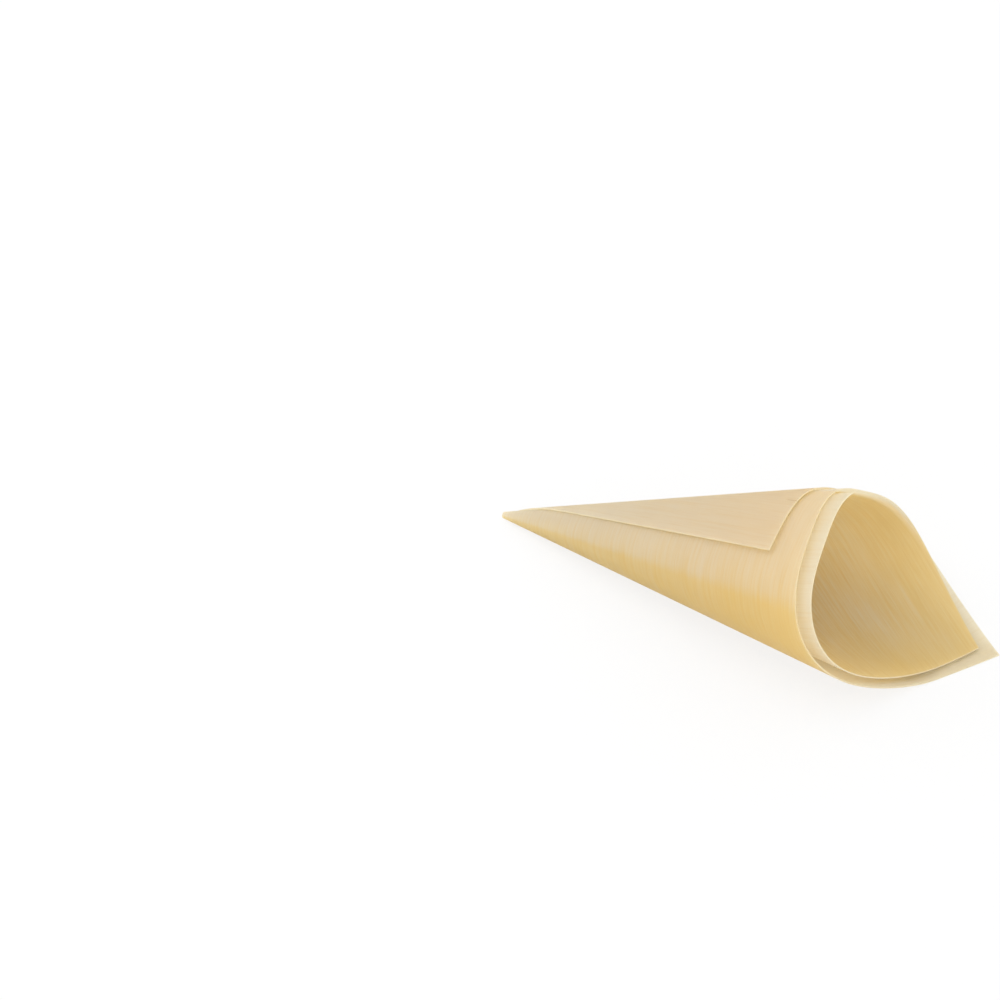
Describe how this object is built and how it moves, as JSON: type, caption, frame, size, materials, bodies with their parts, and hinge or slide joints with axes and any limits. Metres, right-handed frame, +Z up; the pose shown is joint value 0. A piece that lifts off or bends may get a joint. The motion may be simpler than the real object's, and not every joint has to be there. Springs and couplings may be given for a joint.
{
  "type": "wooden food cone",
  "caption": "Pointed cone rolled from a sheet of thin pale wood veneer, open at its wide end, for serving snacks or finger food.",
  "frame": {"origin": "middle of the footprint of the cone as it lies on its side, on the surface it lies on", "axes": "+X from the pointed end towards the mouth, +Z up, +Y to the side on which the outer end of the sheet goes down inside"},
  "size_m": [0.1782, 0.074, 0.0582],
  "materials": {
    "veneer": "smooth dry veneer with a faint satin sheen"
  },
  "bodies": {
    "root": {"rolled_veneer": "veneer"}
  },
  "joints": []
}
